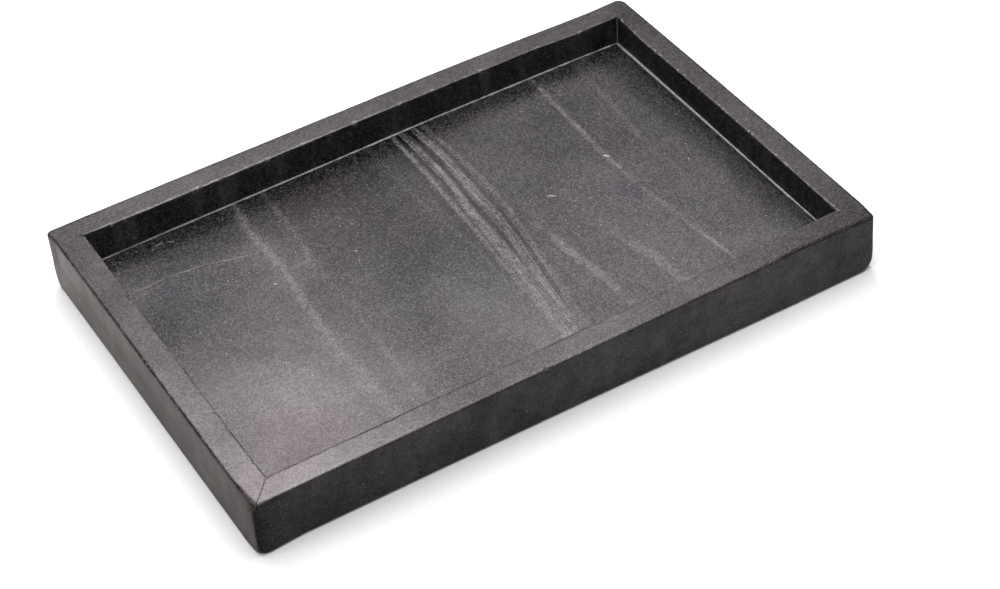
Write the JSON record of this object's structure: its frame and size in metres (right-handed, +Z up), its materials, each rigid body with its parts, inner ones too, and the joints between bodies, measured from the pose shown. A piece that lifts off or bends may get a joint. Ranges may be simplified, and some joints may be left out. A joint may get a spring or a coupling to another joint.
{
  "type": "marble tray",
  "caption": "Flat rectangular serving tray: a dark grey marble floor slab bonded inside a raised frame of mitred marble rails, standing on thin felt pads.",
  "frame": {"origin": "centre of the footprint, on the surface that the pads stand on", "axes": "+X along the tray's length, +Y from the front rail to the back rail, +Z up out of the open recess"},
  "size_m": [0.3, 0.2, 0.03],
  "materials": {
    "slab_marble": "honed, matt, fine grained with pale veins across",
    "rail_marble": "honed, matt, fine grained",
    "adhesive": "cured, slightly glossy, grey",
    "felt": "dense pressed felt"
  },
  "bodies": {
    "root": {"base_slab": "slab_marble", "front_rail": "rail_marble", "back_rail": "rail_marble", "left_rail": "rail_marble", "right_rail": "rail_marble", "front_floor_adhesive": "adhesive", "back_floor_adhesive": "adhesive", "left_floor_adhesive": "adhesive", "right_floor_adhesive": "adhesive", "front_left_mitre_adhesive": "adhesive", "front_right_mitre_adhesive": "adhesive", "back_right_mitre_adhesive": "adhesive", "back_left_mitre_adhesive": "adhesive", "front_left_pad": "felt", "front_right_pad": "felt", "back_right_pad": "felt", "back_left_pad": "felt"}
  },
  "joints": []
}
